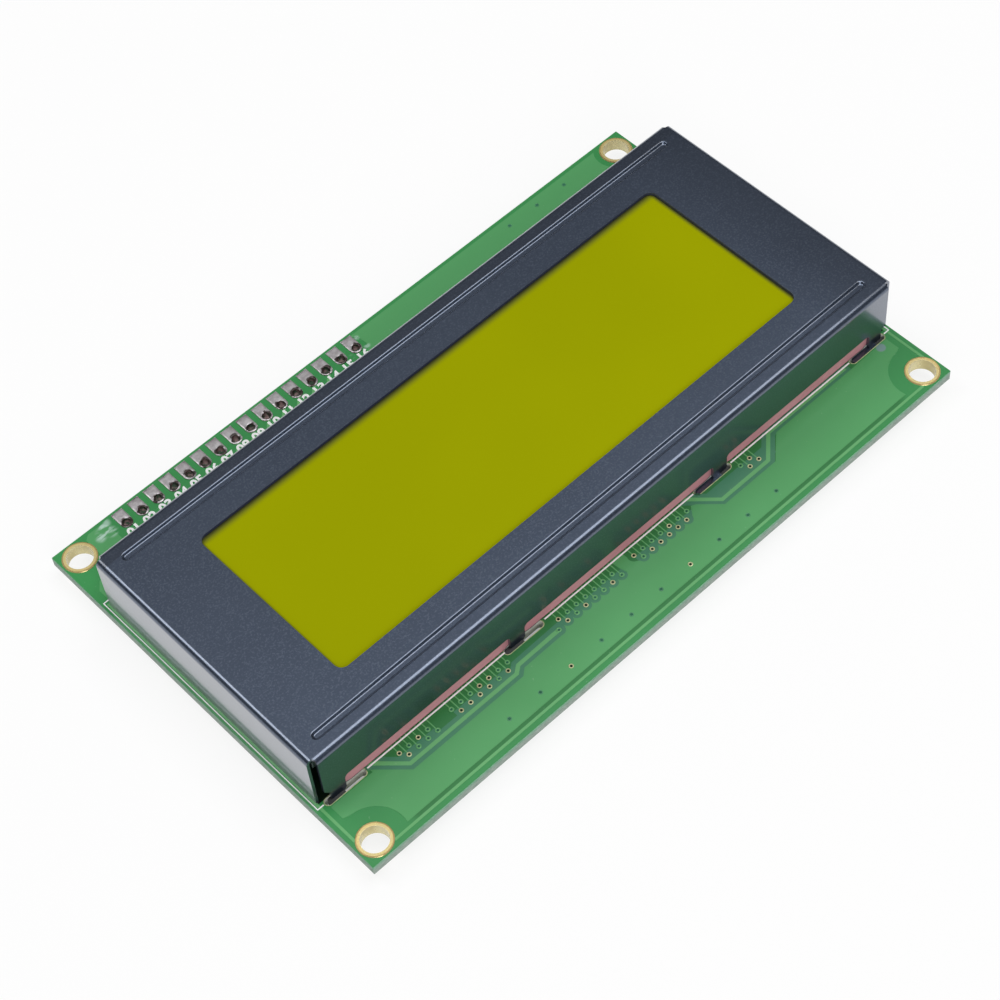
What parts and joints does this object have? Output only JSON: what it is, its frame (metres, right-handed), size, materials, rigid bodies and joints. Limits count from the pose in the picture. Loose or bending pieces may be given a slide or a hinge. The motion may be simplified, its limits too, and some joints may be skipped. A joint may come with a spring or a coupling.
{
  "type": "character lcd module",
  "caption": "Character display module: yellow-green screen in a black folded steel bezel on a green circuit board with corner mounting holes and a row of connector pads.",
  "frame": {"origin": "under the middle of the circuit board, at the level of the twisted tab tips that the module rests on", "axes": "+X along the rows of characters, from the first connector pad's end to the far end; +Y towards the edge with the connector pads; +Z out of the display"},
  "size_m": [0.098, 0.06, 0.0127],
  "materials": {
    "board": "satin solder mask on glass cloth laminate",
    "bezel_steel": "black baked paint, fine grain",
    "front_film": "satin film, yellow-green",
    "cell_glass": "polished",
    "rear_film": "pearly film",
    "silicone": "matte pink silicone",
    "light_box": "milky",
    "light_board": "white mask",
    "diodes": "clear resin",
    "tin": "tin-lead solder coat",
    "epoxy": "cured black epoxy",
    "resistor": "ceramic with tinned ends",
    "capacitor": "tan ceramic with tinned ends",
    "gold": "gold flash"
  },
  "bodies": {
    "root": {"circuit_board": "board", "bezel": "bezel_steel", "front_polariser": "front_film", "front_glass": "cell_glass", "rear_glass": "cell_glass", "rear_polariser": "rear_film", "contact_strip_lower": "silicone", "contact_strip_upper": "silicone", "light_diffuser": "light_box", "light_frame": "light_box", "light_board": "light_board", "light_diodes": "diodes", "connector_pads": "tin", "controller_cap": "epoxy", "driver_cap_middle": "epoxy", "driver_cap_right": "epoxy", "bias_resistors": "resistor", "oscillator_resistor": "resistor", "backlight_resistors": "resistor", "supply_capacitors": "capacitor", "chip_solder": "tin", "mount_lining_1": "gold", "mount_lining_2": "gold", "mount_lining_3": "gold", "mount_lining_4": "gold", "light_anode_lead": "tin", "light_anode_solder": "tin", "light_cathode_lead": "tin", "light_cathode_solder": "tin"}
  },
  "joints": []
}
